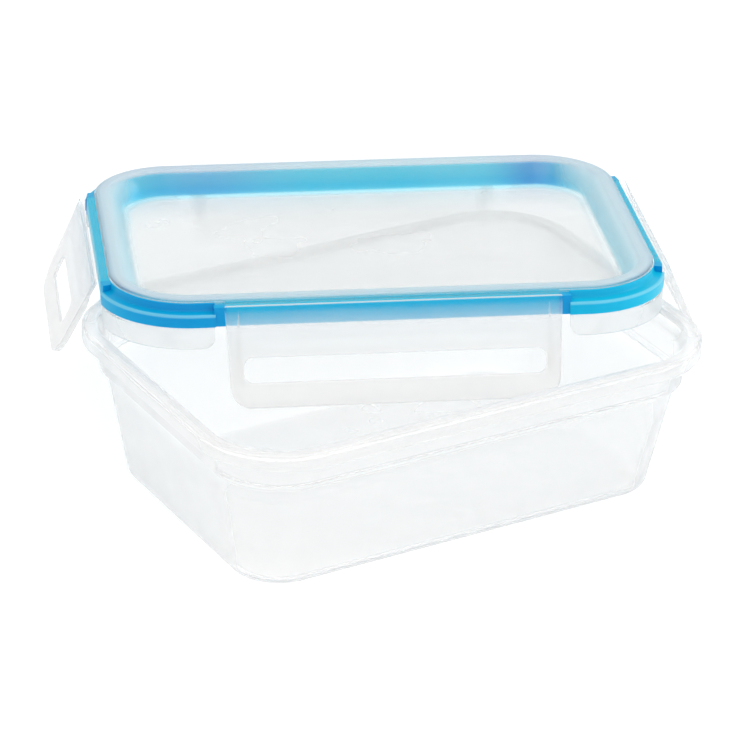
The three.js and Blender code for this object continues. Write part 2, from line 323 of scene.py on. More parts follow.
def plastic(name, tint=(0.90, 0.915, 0.93), clear=0.55, edge=0.25, rough=0.12, back=0.5, bump=0.02,
            haze=0.06, grain=900.0, shade_tint=(0.80, 0.85, 0.90), glass=None, tinted=(0.97, 0.98, 0.985), passing=(0.978, 0.974, 0.971), fade=0.0, sheen=0.75, flow=False):
    """Natural polypropylene: partly clear, milky where it is seen edge on, with a soft moulded gloss.
    clear is the share of light that goes straight through a surface seen square on, edge the same at a grazing view."""
    m, nt = nodes_of(name)
    out = add(nt, "ShaderNodeOutputMaterial")
    tc = add(nt, "ShaderNodeTexCoord")
    # moulding flow: large soft cloud and fine grain
    cloud = add(nt, "ShaderNodeTexNoise", Scale=22.0, Detail=3.0, Roughness=0.55)
    link(nt, tc.outputs["Object"], cloud.inputs["Vector"])
    fine = add(nt, "ShaderNodeTexNoise", Scale=grain, Detail=2.0, Roughness=0.6)
    link(nt, tc.outputs["Object"], fine.inputs["Vector"])
    bmp = add(nt, "ShaderNodeBump", Strength=bump, Distance=0.0004)
    link(nt, fine.outputs["Fac"], bmp.inputs["Height"])
    bmp2 = add(nt, "ShaderNodeBump", Strength=bump * 2.2, Distance=0.004)
    link(nt, cloud.outputs["Fac"], bmp2.inputs["Height"])
    link(nt, bmp.outputs["Normal"], bmp2.inputs["Normal"])
    nrm = bmp2.outputs["Normal"]
    lw = add(nt, "ShaderNodeLayerWeight", Blend=0.5)
    ramp = add(nt, "ShaderNodeMapRange")
    ramp.inputs["From Min"].default_value = 0.25
    ramp.inputs["From Max"].default_value = 0.98
    ramp.inputs["To Min"].default_value = 1 - clear
    ramp.inputs["To Max"].default_value = 1 - edge
    link(nt, lw.outputs["Facing"], ramp.inputs["Value"])
    # cloudiness varies a little over the moulding
    vary = add(nt, "ShaderNodeMapRange")
    vary.inputs["From Min"].default_value = 0.3
    vary.inputs["From Max"].default_value = 0.7
    vary.inputs["To Min"].default_value = -haze / 2
    vary.inputs["To Max"].default_value = haze / 2
    link(nt, cloud.outputs["Fac"], vary.inputs["Value"])
    opac = add(nt, "ShaderNodeMath", operation="ADD", use_clamp=True)
    link(nt, ramp.outputs["Result"], opac.inputs[0])
    link(nt, vary.outputs["Result"], opac.inputs[1])
    if flow:
        # the rounded top of the rim is thicker, so cloudier
        at = add(nt, "ShaderNodeAttribute", attribute_name="crown")
        opac2 = add(nt, "ShaderNodeMath", operation="MULTIPLY_ADD", use_clamp=True)
        link(nt, at.outputs["Fac"], opac2.inputs[0])
        opac2.inputs[1].default_value = 0.78
        link(nt, opac.outputs[0], opac2.inputs[2])
        opac = opac2
    if fade:
        # a latch is clearest beside its hinge, where it is thinnest
        at = add(nt, "ShaderNodeAttribute", attribute_name="reach")
        near = add(nt, "ShaderNodeMapRange", interpolation_type="SMOOTHSTEP")
        near.inputs["From Min"].default_value = 0.02
        near.inputs["From Max"].default_value = 0.30
        near.inputs["To Min"].default_value = -fade
        near.inputs["To Max"].default_value = 0.0
        link(nt, at.outputs["Fac"], near.inputs["Value"])
        opac2 = add(nt, "ShaderNodeMath", operation="ADD", use_clamp=True)
        link(nt, opac.outputs[0], opac2.inputs[0])
        link(nt, near.outputs["Result"], opac2.inputs[1])
        opac = opac2
    # painted shade: the colour darkens from tint to shade_tint towards grazing views, drawing darker outlines along
    # edges and rims
    col = add(nt, "ShaderNodeMix", data_type="RGBA")
    col.inputs["A"].default_value = (*tint, 1)
    col.inputs["B"].default_value = (*shade_tint, 1)
    link(nt, lw.outputs["Facing"], col.inputs["Factor"])
    dif = add(nt, "ShaderNodeBsdfDiffuse")
    tra = add(nt, "ShaderNodeBsdfTranslucent")
    for b in (dif, tra):
        link(nt, col.outputs["Result"], b.inputs["Color"])
        link(nt, nrm, b.inputs["Normal"])
    milk = add(nt, "ShaderNodeMixShader", Fac=back)
    link(nt, dif.outputs[0], milk.inputs[1])
    link(nt, tra.outputs[0], milk.inputs[2])
    trn = add(nt, "ShaderNodeBsdfTransparent", Color=(0.99, 0.99, 0.99, 1))
    body = add(nt, "ShaderNodeMixShader")
    link(nt, opac.outputs[0], body.inputs["Fac"])
    link(nt, trn.outputs[0], body.inputs[1])
    link(nt, milk.outputs[0], body.inputs[2])
    lw2 = add(nt, "ShaderNodeLayerWeight", Blend=0.5)
    link(nt, nrm, lw2.inputs["Normal"])
    p5 = add(nt, "ShaderNodeMath", operation="POWER")
    link(nt, lw2.outputs["Facing"], p5.inputs[0])
    p5.inputs[1].default_value = 5.0
    fres = add(nt, "ShaderNodeMath", operation="MULTIPLY_ADD", use_clamp=True)
    link(nt, p5.outputs[0], fres.inputs[0])
    fres.inputs[1].default_value = sheen
    fres.inputs[2].default_value = 0.04 if glass is not None or sheen > 0.3 else 0.012
    gloss = add(nt, "ShaderNodeBsdfGlossy", Roughness=rough)
    link(nt, nrm, gloss.inputs["Normal"])
    final = add(nt, "ShaderNodeMixShader")
    link(nt, fres.outputs[0], final.inputs["Fac"])
    link(nt, body.outputs[0], final.inputs[1])
    link(nt, gloss.outputs[0], final.inputs[2])
    if glass is not None:
        g = add(nt, "ShaderNodeBsdfGlass", IOR=1.46, Roughness=glass, Color=(*tinted, 1))
        link(nt, nrm, g.inputs["Normal"])
        if flow:
            # painted reflection: the glass is tinted with the blue ring's colour round the foot of the slope and along
            # the back of the rim's outer edge, standing in for the ring's colour reflected in and seen through the
            # plastic
            at2 = add(nt, "ShaderNodeAttribute", attribute_name="blue_reflection_tint")
            gc = add(nt, "ShaderNodeMix", data_type="RGBA")
            gc.inputs["A"].default_value = (*tinted, 1)
            gc.inputs["B"].default_value = (0.42, 0.84, 0.95, 1)
            link(nt, at2.outputs["Fac"], gc.inputs["Factor"])
            link(nt, gc.outputs["Result"], g.inputs["Color"])
        final = add(nt, "ShaderNodeMixShader")
        link(nt, opac.outputs[0], final.inputs["Fac"])
        link(nt, g.outputs[0], final.inputs[1])
        link(nt, milk.outputs[0], final.inputs[2])
    if fade:
        # the first millimetres beside the hinge are as clear as the hinge film itself
        nearest = add(nt, "ShaderNodeMapRange", interpolation_type="SMOOTHSTEP")
        nearest.inputs["From Min"].default_value = 0.03
        nearest.inputs["From Max"].default_value = 0.10
        nearest.inputs["To Min"].default_value = 1.0
        nearest.inputs["To Max"].default_value = 0.0
        link(nt, at.outputs["Fac"], nearest.inputs["Value"])
        film = add(nt, "ShaderNodeMixShader")
        f2 = add(nt, "ShaderNodeMath", operation="MULTIPLY", use_clamp=True)
        link(nt, fres.outputs[0], f2.inputs[0])
        f2.inputs[1].default_value = 0.35
        link(nt, f2.outputs[0], film.inputs["Fac"])
        link(nt, trn.outputs[0], film.inputs[1])
        link(nt, gloss.outputs[0], film.inputs[2])
        both = add(nt, "ShaderNodeMixShader")
        link(nt, nearest.outputs["Result"], both.inputs["Fac"])
        link(nt, final.outputs[0], both.inputs[1])
        link(nt, film.outputs[0], both.inputs[2])
        # painted highlight: a milky line painted along the latch's top edge by the hinge, strongest on the front latch
        rim = add(nt, "ShaderNodeMapRange", interpolation_type="SMOOTHSTEP")
        rim.inputs["From Min"].default_value = 0.006
        rim.inputs["From Max"].default_value = 0.020
        link(nt, at.outputs["Fac"], rim.inputs["Value"])
        hinge_edge_highlight = add(nt, "ShaderNodeAttribute", attribute_name="hinge_edge_highlight")
        link(nt, hinge_edge_highlight.outputs["Fac"], rim.inputs["To Min"])
        rim.inputs["To Max"].default_value = 0.0
        final = add(nt, "ShaderNodeMixShader")
        link(nt, rim.outputs["Result"], final.inputs["Fac"])
        link(nt, both.outputs[0], final.inputs[1])
        link(nt, milk.outputs[0], final.inputs[2])
    # light reaches what lies behind the thin plastic: shadow and bounced rays pass almost straight through
    lp = add(nt, "ShaderNodeLightPath")
    soft = add(nt, "ShaderNodeMath", operation="MAXIMUM")
    link(nt, lp.outputs["Is Shadow Ray"], soft.inputs[0])
    link(nt, lp.outputs["Is Diffuse Ray"], soft.inputs[1])
    thru = add(nt, "ShaderNodeBsdfTransparent", Color=(*passing, 1))
    last = add(nt, "ShaderNodeMixShader")
    link(nt, soft.outputs[0], last.inputs["Fac"])
    link(nt, final.outputs[0], last.inputs[1])
    link(nt, thru.outputs[0], last.inputs[2])
    link(nt, last.outputs[0], out.inputs["Surface"])
    return m


def rubber(name, deep=(0.0, 0.20, 0.52), light=(0.0, 0.42, 0.78), rough=0.38):
    """Blue thermoplastic elastomer: saturated, lets a little light through, satin."""
    m, nt = nodes_of(name)
    out = add(nt, "ShaderNodeOutputMaterial")
    tc = add(nt, "ShaderNodeTexCoord")
    n1 = add(nt, "ShaderNodeTexNoise", Scale=60.0, Detail=3.0, Roughness=0.5)
    n2 = add(nt, "ShaderNodeTexNoise", Scale=1400.0, Detail=2.0, Roughness=0.6)
    for n in (n1, n2):
        link(nt, tc.outputs["Object"], n.inputs["Vector"])
    # painted sheen: the blue pales towards grazing views, with a little random variation over the surface
    lw = add(nt, "ShaderNodeLayerWeight", Blend=0.45)
    f = add(nt, "ShaderNodeMath", operation="MULTIPLY_ADD", use_clamp=True)
    link(nt, n1.outputs["Fac"], f.inputs[0])
    f.inputs[1].default_value = 0.25
    link(nt, lw.outputs["Facing"], f.inputs[2])
    col = add(nt, "ShaderNodeMix", data_type="RGBA")
    col.inputs["A"].default_value = (*deep, 1)
    col.inputs["B"].default_value = (*light, 1)
    link(nt, f.outputs[0], col.inputs["Factor"])
    bmp = add(nt, "ShaderNodeBump", Strength=0.06, Distance=0.0002)
    link(nt, n2.outputs["Fac"], bmp.inputs["Height"])
    # painted highlight: the band is painted pale cyan along its rounded ledge, in place of a bright highlight line
    # there
    lip = add(nt, "ShaderNodeAttribute", attribute_name="ledge_highlight")
    painted_ledge_highlight = add(nt, "ShaderNodeMix", data_type="RGBA")
    painted_ledge_highlight.inputs["B"].default_value = (0.30, 0.80, 0.93, 1)
    link(nt, lip.outputs["Fac"], painted_ledge_highlight.inputs["Factor"])
    link(nt, col.outputs["Result"], painted_ledge_highlight.inputs["A"])
    col = painted_ledge_highlight
    p = add(nt, "ShaderNodeBsdfPrincipled", Roughness=rough)
    link(nt, col.outputs["Result"], p.inputs["Base Color"])
    link(nt, bmp.outputs["Normal"], p.inputs["Normal"])
    p.inputs["Subsurface Weight"].default_value = 0.0
    p.inputs["Specular IOR Level"].default_value = 0.22
    tra = add(nt, "ShaderNodeBsdfTranslucent")
    link(nt, col.outputs["Result"], tra.inputs["Color"])
    mix = add(nt, "ShaderNodeMixShader", Fac=0.25)
    link(nt, p.outputs[0], mix.inputs[1])
    link(nt, tra.outputs[0], mix.inputs[2])
    link(nt, mix.outputs[0], out.inputs["Surface"])
    return m


mat_container = plastic("pp_container", tint=(0.978, 0.962, 0.960), clear=0.885, edge=0.50, shade_tint=(0.82, 0.84, 0.855), glass=0.23, tinted=(0.996, 0.9955, 0.9952))
mat_lid = plastic("pp_lid", tint=(0.905, 0.912, 0.912), clear=0.92, edge=0.60, bump=0.03, shade_tint=(0.84, 0.88, 0.885), glass=0.18, tinted=(0.952, 0.955, 0.955), flow=True)
mat_latch = plastic("pp_latch", tint=(0.90, 0.885, 0.88), clear=0.66, edge=0.34, shade_tint=(0.89, 0.88, 0.88), glass=0.22, tinted=(0.982, 0.980, 0.979), fade=0.32)
mat_skirt = plastic("pp_skirt", tint=(0.92, 0.91, 0.905), clear=0.80, edge=0.58, shade_tint=(0.85, 0.86, 0.87), glass=0.16, tinted=(0.978, 0.979, 0.979))
mat_land = plastic("pp_hinge_land", tint=(0.95, 0.96, 0.97), clear=0.995, edge=0.99, rough=0.2, haze=0.0, shade_tint=(0.92, 0.96, 0.98), bump=0.01, sheen=0.10)
mat_rib = plastic("pp_latch_rib", tint=(0.94, 0.95, 0.955), clear=0.90, edge=0.80, rough=0.25, haze=0.0, shade_tint=(0.86, 0.92, 0.95), bump=0.01, sheen=0.10)
mat_seal_side = rubber("tpe_blue_under_latch", deep=(0.0, 0.47, 0.80), light=(0.0, 0.70, 0.90), rough=0.30)
# painted light: a lighter, more cyan copy of the blue rubber for the right side and its two corners, standing in for
# the stronger light from the right
mat_seal_painted_lit = rubber("tpe_blue_thin_corner", deep=(0.0, 0.47, 0.77), light=(0.01, 0.68, 0.89), rough=0.26)
mat_seal = rubber("tpe_blue", deep=(0.0, 0.31, 0.71), light=(0.0, 0.56, 0.86), rough=0.30)


def gasket_material():
    """The soft ring in the groove under the raised rim, fading out down the slope, where less of it backs the milky plastic."""
    m, nt = nodes_of("tpe_blue_in_groove")
    out = add(nt, "ShaderNodeOutputMaterial")
    at = add(nt, "ShaderNodeAttribute", attribute_name="depth")
    rp = add(nt, "ShaderNodeValToRGB")
    rp.color_ramp.interpolation = "EASE"
    rp.color_ramp.elements[0].position = 0.0
    rp.color_ramp.elements[0].color = (0.06, 0.72, 0.88, 1)
    rp.color_ramp.elements[1].position = 1.0
    rp.color_ramp.elements[1].color = (0.34, 0.87, 0.94, 1)
    link(nt, at.outputs["Fac"], rp.inputs["Fac"])
    # deeper in colour in two patches along the back, towards the rear corners
    ds = add(nt, "ShaderNodeAttribute", attribute_name="deep_patch")
    dc = add(nt, "ShaderNodeMix", data_type="RGBA")
    dc.inputs["B"].default_value = (0.0, 0.41, 0.80, 1)
    link(nt, ds.outputs["Fac"], dc.inputs["Factor"])
    link(nt, rp.outputs["Color"], dc.inputs["A"])
    d = add(nt, "ShaderNodeBsdfDiffuse")
    t = add(nt, "ShaderNodeBsdfTranslucent")
    link(nt, dc.outputs["Result"], d.inputs["Color"])
    link(nt, dc.outputs["Result"], t.inputs["Color"])
    mx = add(nt, "ShaderNodeMixShader", Fac=0.4)
    link(nt, d.outputs[0], mx.inputs[1])
    link(nt, t.outputs[0], mx.inputs[2])
    tr = add(nt, "ShaderNodeBsdfTransparent")
    fd = add(nt, "ShaderNodeMapRange", interpolation_type="SMOOTHSTEP")
    fd.inputs["From Min"].default_value = 0.35
    fd.inputs["From Max"].default_value = 1.0
    fd.inputs["To Min"].default_value = 0.0
    fd.inputs["To Max"].default_value = 1.0
    link(nt, at.outputs["Fac"], fd.inputs["Value"])
    fin = add(nt, "ShaderNodeMixShader")
    link(nt, fd.outputs["Result"], fin.inputs["Fac"])
    link(nt, mx.outputs[0], fin.inputs[1])
    link(nt, tr.outputs[0], fin.inputs[2])
    link(nt, fin.outputs[0], out.inputs["Surface"])
    return m


mat_gasket = gasket_material()


def finish(o, mat, body, slot, *nodes):
    if mat is not None:
        o.data.materials.clear()
        o.data.materials.append(mat)
    if body:
        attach(o, body)
    if nodes:
        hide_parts(*nodes)
    return o


# ------------------------------------------------------------------ container
def container():
    nz, lz = HEIGHT - COLLAR_H, HEIGHT - COLLAR_H - NECK_H
    # inset, z, corner radius: from the middle of the base, up the outside, over the rim, down the inside
    P = [(60, 0.0, 4.0), (BODY_FOOT_IN + 6.0, 0.0, 13.2), (BODY_FOOT_IN + 3.4, 0.02, 15.8), (BODY_FOOT_IN + 2.2, 0.28, 17.0),
         (BODY_FOOT_IN + 1.25, 0.85, 17.9), (BODY_FOOT_IN + 0.6, 1.65, 18.6), (BODY_FOOT_IN + 0.2, 2.6, 19.0), (BODY_FOOT_IN, 3.7, 19.3)]
    for k in range(1, 6):
        t = k / 6
        P.append((BODY_FOOT_IN + (BODY_TOP_IN - BODY_FOOT_IN) * t, 3.7 + (lz - 1.1 - 3.7) * t, 19.3 + (23.9 - 19.3) * t))
    P += [(BODY_TOP_IN, lz - 1.1, 23.9), (BODY_TOP_IN - 0.25, lz - 0.55, 24.1), (BODY_TOP_IN - 0.8, lz - 0.15, 24.6),
          (BODY_TOP_IN - 1.4, lz, 25.1), (NECK_IN + 0.9, lz + 0.02, 25.6), (NECK_IN + 0.35, lz + 0.22, 26.1),
          (NECK_IN + 0.08, lz + 0.65, 26.35), (NECK_IN, lz + 1.2, 26.45), (NECK_IN, nz - 3, 26.45), (NECK_IN, nz, 26.45),
          (NECK_IN, HEIGHT - 2.6, 26.45), (NECK_IN - 0.25, HEIGHT - 2.0, 26.7), (NECK_IN - 0.8, HEIGHT - 1.75, 27.2),
          (4.0, HEIGHT - 1.7, 29.0), (2.2, HEIGHT - 1.7, 30.8), (1.65, HEIGHT - 1.95, 31.35), (1.45, HEIGHT - 2.5, 31.55),
          (1.4, nz + 1.0, 31.6), (1.35, nz + 0.35, 31.65), (1.1, nz + 0.06, 31.9), (0.7, nz, 32.3), (0.3, nz + 0.06, 32.7),
          (0.06, nz + 0.35, 32.94), (0.0, nz + 0.8, 33.0), (0.0, nz + 3.0, 33.0), (0.0, HEIGHT - 1.3, 33.0), (0.1, HEIGHT - 0.8, 32.9),
          (0.38, HEIGHT - 0.38, 32.62), (0.8, HEIGHT - 0.1, 32.2), (1.3, HEIGHT, 31.7), (3.0, HEIGHT, 30.0), (4.9, HEIGHT, 28.1),
          (5.45, HEIGHT - 0.1, 27.5), (5.9, HEIGHT - 0.4, 27.1), (6.2, HEIGHT - 0.85, 26.75), (6.4, HEIGHT - 1.6, 26.5),
          (7.1, HEIGHT - 3.5, 25.8), (7.75, nz, 25.2), (7.95, nz - 0.9, 25.0), (NECK_IN + WALL, nz - 2, 24.95), (NECK_IN + WALL, lz + 2.9, 24.95),
          (8.1, lz + 2.3, 24.9), (8.45, lz + 1.85, 24.55), (9.0, lz + 1.6, 24.0), (9.7, lz + 1.5, 23.3), (10.25, lz + 1.25, 22.8),
          (10.52, lz + 0.7, 22.5), (BODY_TOP_IN + WALL, lz - 0.1, 22.4)]
    for k in range(1, 6):
        t = k / 6
        P.append((BODY_TOP_IN + WALL + (BODY_FOOT_IN - BODY_TOP_IN) * t, lz - 0.1 + (4.6 - lz + 0.1) * t, 22.4 + (17.9 - 22.4) * t))
    P += [(BODY_FOOT_IN + WALL, 4.6, 17.9), (BODY_FOOT_IN + WALL + 0.3, 3.5, 17.6), (BODY_FOOT_IN + WALL + 0.95, 2.55, 17.0),
          (BODY_FOOT_IN + WALL + 1.9, 1.9, 16.0), (BODY_FOOT_IN + WALL + 3.1, 1.56, 14.8), (BODY_FOOT_IN + WALL + 4.6, FLOOR, 13.3),
          (40, FLOOR, 8.0), (60, FLOOR, 4.0)]
    rings = [[(x, y, z) for x, y in rr_ring(HX - i, HY - i, r, 18, 8)] for i, z, r in P]
    v, f = loft(rings)
    return build("container_body", v, f)


finish(container(), mat_container, "container", "container_plastic", "container")


# ------------------------------------------------------------------ lid shell
def half(side):
    return LONG_HALF if side in ("front", "back") else SHORT_HALF


def skirt(side):
    return SKIRT_X if side in ("front", "back") else SKIRT_Y


CORNERS = [("right", "back"), ("back", "left"), ("left", "front"), ("front", "right")]


def corner_span(a, b, more=0.0):
    s0, s1 = SIDES[a] + skirt(a) - more, SIDES[b] - skirt(b) + more
    if s1 < s0:
        s1 += PERIM
    return s0, s1


def lid_shell():
    # outset, z: from the middle of the panel, over the raised rim, round its wall and back under the panel
    top = [(-70, PANEL_TOP), (-45, PANEL_TOP), (-17.2, PANEL_TOP), (-15.6, -9.74), (-14.6, -9.5), (-13.8, -9.08), (-13.2, -8.5),
           (-12.1, -6.9), (-11.0, -5.2), (-9.9, -3.5), (-9.15, -2.3), (-8.6, -1.45), (-8.05, -0.8), (-7.4, -0.34), (-6.6, -0.08), (-5.9, 0.0),
           (-4.4, 0.0), (-3.6, -0.05), (-2.95, -0.2), (-2.4, -0.46), (-2.0, -0.8), (-1.82, -1.12), (-1.9, -1.28), (-2.2, -1.38),
           (-2.75, -1.48), (-2.9, -1.7), (-2.9, -3.5), (-2.9, -5.6), (-2.9, -6.9), (-3.05, -7.08), (-3.5, -7.1), (-4.05, -7.08), (-4.2, -6.9),
           (-4.2, -4.5), (-4.2, -2.1), (-4.35, -1.7), (-4.75, -1.45), (-5.4, -1.4), (-6.3, -1.42), (-6.9, -1.65), (-7.35, -2.1),
           (-8.4, -3.8), (-9.6, -5.8), (-10.9, -8.1), (-11.8, -9.7), (-12.4, -10.5), (-13.2, -11.0), (-14.3, -11.2), (-17, PANEL_UNDER),
           (-45, PANEL_UNDER), (-70, PANEL_UNDER)]
    rings = []
    for o, z in top:
        r = max(3.0, LID_R + o)
        rings.append([(x, y, z) for x, y in rr_ring(HX + o, HY + o, r, 22, 8)])
    v, f = loft(rings)
    core = painted(build("lid_shell_panel_and_rim", v, f), mat_lid)
    parts = []
    r_end = 4.2
    for a, b in CORNERS:
        s0, s1 = corner_span(a, b)

        def sec(s, s0=s0, s1=s1):
            d = min(s - s0, s1 - s)
            foot = SKIRT_FOOT
            if d < r_end:
                foot += r_end - math.sqrt(max(0.0, r_end ** 2 - (r_end - d) ** 2))
            return rounded([(-3.3, -5.9), (1.2, -5.9), (1.2, -10.2), (1.9, -10.9), (1.9, foot), (0.65, foot), (0.6, -11.2), (0.25, -10.6), (0.25, -7.1), (-3.3, -7.1)],
                           [0, 0.35, 0.3, 0.4, 0.35, 0.35, 0.3, 0.3, 0.3, 0], 3)
        ex = [s0 + r_end * (1 - math.cos(math.radians(q))) for q in range(10, 91, 10)]
        ex += [s1 - r_end * (1 - math.cos(math.radians(q))) for q in range(10, 91, 10)]
        parts.append(painted(sweep(sec, s0, s1, name="skirt", extra=ex), mat_skirt))
    for side, s in SIDES.items():
        h = half(side)
        parts.append(painted(sweep(rounded([(-3.3, -5.9), (0.05, -5.9), (0.05, -7.1), (-3.3, -7.1)], [0, 0.3, 0.3, 0], 3), s - h - 0.1, s + h + 0.1, name="flange"), mat_skirt))
        parts.append(painted(sweep(rounded([(-3.3, -1.2), (-0.5, -1.2), (-0.5, -2.2), (-3.3, -2.2)], [0, 0.0, 0.25, 0], 3), s - h + 0.4, s + h - 0.4, name="land"), mat_land))
    lid = union(core, parts)
    # how far each point lies outside (+) or inside (-) the lid's outline
    xyz = np.array([v.co[:] for v in lid.data.vertices]) / MM
    q = np.abs(xyz[:, :2]) - np.array([HX - LID_R, HY - LID_R])
    o = np.linalg.norm(np.maximum(q, 0), axis=1) + np.minimum(q.max(axis=1), 0) - LID_R
    # painted reflection of the blue ring: a blue tint round the foot of the slope, strongest at the back, and along the
    # rim's outer edge at the back
    blue_reflection_tint = np.interp(o, [-17.5, -14.6, -13.2, -12.0, -10.5, -9.0], [0.0, 0.35, 0.75, 0.8, 0.25, 0.0]) * np.interp(xyz[:, 1], [-30, 20, 45], [0.15, 0.25, 1.0])
    blue_reflection_tint = np.maximum(blue_reflection_tint, np.interp(o, [-3.4, -2.2], [0.0, 0.8]) * (xyz[:, 2] > -1.6) * np.interp(xyz[:, 1], [30, 50], [0.0, 1.0]))
    crown = np.interp(o, [-9.0, -6.6, -4.4, -3.0, -2.2], [0.0, 1.0, 1.0, 0.6, 0.0]) * (xyz[:, 2] > -2.0)
    crown = np.maximum(crown, np.interp(o, [-13.5, -11.5, -8.0, -6.0], [0.0, 0.6, 0.85, 1.0]) * np.interp(xyz[:, 0], [-98, -86, 82, 93], [1.0, 0.0, 0.0, 0.95]) * (o < -5))
    blue_reflection_tint *= np.interp(xyz[:, 0], [-98, -86, 82, 93], [0.3, 1.0, 1.0, 0.2])
    for name, val in (("blue_reflection_tint", blue_reflection_tint), ("crown", crown)):
        at = lid.data.attributes.new(name, "FLOAT", "POINT")
        at.data.foreach_set("value", val.astype(np.float32))
    lid.data.transform(LID)
    return lid


finish(lid_shell(), None, "lid", "lid_plastic", "lid_shell")


# ------------------------------------------------------------------ seal
def seal():
    parts = []
    for a, b in CORNERS:
        s0, s1 = corner_span(a, b, 0.3)
        band = rounded([(-2.62, -1.75), (-1.85, -1.75), (-1.7, -4.6), (1.0, -4.85), (2.2, -4.95), (2.2, -6.1), (2.2, -9.8), (1.5, -9.8), (1.5, -5.6), (-2.62, -5.6)],
                       [0.1, 0.3, 1.1, 0.0, 0.55, 0.0, 0.3, 0.3, 0.2, 0.1], 5)
        # painted light: the corners beside the right side take the lighter copy of the rubber
        parts.append(painted(sweep(band, s0, s1, name="seal_corner"), mat_seal_painted_lit if "right" in (a, b) else mat_seal))
    for side, s in SIDES.items():
        h, k = half(side), skirt(side)
        blk = rounded([(-2.62, -2.5), (1.0, -2.5), (1.0, -9.8), (0.35, -9.8), (0.35, -5.6), (-2.62, -5.6)], [0.2, 0.35, 0.3, 0.3, 0.2, 0.1], 4)
        parts.append(painted(sweep(blk, s - h + 0.3, s + h - 0.3, name="seal_side"), mat_seal_painted_lit if side == "right" else mat_seal_side))
        for sg in (-1, 1):
            a, b = sorted((s + sg * (h + 0.4 - 1.2), s + sg * (k - 0.3 + 0.5)))
            notch = rounded([(-2.62, -2.4), (1.3, -2.4), (1.4, -9.8), (0.45, -9.8), (0.45, -6.2), (-0.2, -5.75), (-2.62, -5.75)], [0.2, 0.5, 0.3, 0.3, 0.2, 0.2, 0.1], 4)
            parts.append(painted(sweep(notch, a, b, name="seal_notch"), mat_seal))
    ring = union(parts[0], parts[1:])
    ring.name = "seal_band"
    xyz = np.array([v.co[:] for v in ring.data.vertices]) / MM
    q = np.abs(xyz[:, :2]) - np.array([HX - LID_R, HY - LID_R])
    o = np.linalg.norm(np.maximum(q, 0), axis=1) + np.minimum(q.max(axis=1), 0) - LID_R
    # painted highlight mask: 0.6 within 0.5 mm of the ledge's rounded outer edge
    at = ring.data.attributes.new("ledge_highlight", "FLOAT", "POINT")
    at.data.foreach_set("value", (0.6 * (np.hypot(o - 2.1, xyz[:, 2] + 5.1) < 0.5)).astype(np.float32))
    ring.data.transform(LID)
    core = rounded([(-0.15, -7.4), (-0.15, -8.25), (-7.6, -8.3), (-9.4, -8.9), (-10.7, -10.7), (-11.75, -10.5), (-11.4, -9.8), (-10.5, -8.1), (-9.2, -5.8), (-8.0, -3.8),
                    (-7.0, -2.3), (-6.4, -2.0), (-5.6, -2.6), (-4.5, -5.2), (-4.5, -7.4)],
                   [0.3, 0.3, 0.6, 0.6, 0.3, 0.3, 0, 0, 0, 0, 0.4, 0.4, 0.4, 0.4, 0.3], 3)
    mid = SIDES["back"]
    gasket = sweep(core, name="seal_gasket", matrix=LID, extra=[mid + k * 5.0 for k in range(-14, 15)])
    at = gasket.data.attributes.new("depth", "FLOAT", "POINT")
    inv = LID.inverted()
    p = np.array([(inv @ v.co)[:] for v in gasket.data.vertices]) / MM
    at.data.foreach_set("value", np.clip((-8.6 - p[:, 2]) / 2.2, 0, 1).astype(np.float32))
    deep_patch = 0.55 * np.exp(-((p[:, 0] + 58) / 24) ** 2) + 0.95 * np.exp(-((p[:, 0] - 74) / 11) ** 2)
    at = gasket.data.attributes.new("deep_patch", "FLOAT", "POINT")
    at.data.foreach_set("value", np.clip(deep_patch * np.clip((p[:, 1] - 45) / 8, 0, 1), 0, 1).astype(np.float32))
    return ring, gasket


band, gasket = seal()
finish(band, None, "lid", "seal_rubber", "seal_ring")
finish(gasket, mat_gasket, "lid", "seal_rubber", "seal_ring")


# ------------------------------------------------------------------ latches
def flap_ring(hw_top, hw_foot, top, foot, r_top, r_foot, y, nc=8, ns=10):
    """A loop round a latch, in its own frame: X along the hinge, -Y outward, -Z down. y is one number or a function of z."""
    pts = []
    cs = [(hw_top, top, r_top, 1, 1, 0), (hw_top, top, r_top, -1, 1, 90), (hw_foot, foot, r_foot, -1, -1, 180), (hw_foot, foot, r_foot, 1, -1, 270)]
    arcs = []
    for hw, z, r, sx, sz, a0 in cs:
        cx, cz = sx * (hw - r), z - sz * r
        arcs.append([(cx + r * math.cos(math.radians(a0 + 90 * i / nc)), cz + r * math.sin(math.radians(a0 + 90 * i / nc))) for i in range(nc + 1)])
    for k in range(4):
        pts += arcs[k]
        a, b = arcs[k][-1], arcs[(k + 1) % 4][0]
        for i in range(1, ns):
            t = i / ns
            pts.append((a[0] * (1 - t) + b[0] * t, a[1] * (1 - t) + b[1] * t))
    return [(x, y(x, z) if callable(y) else y, z) for x, z in pts]


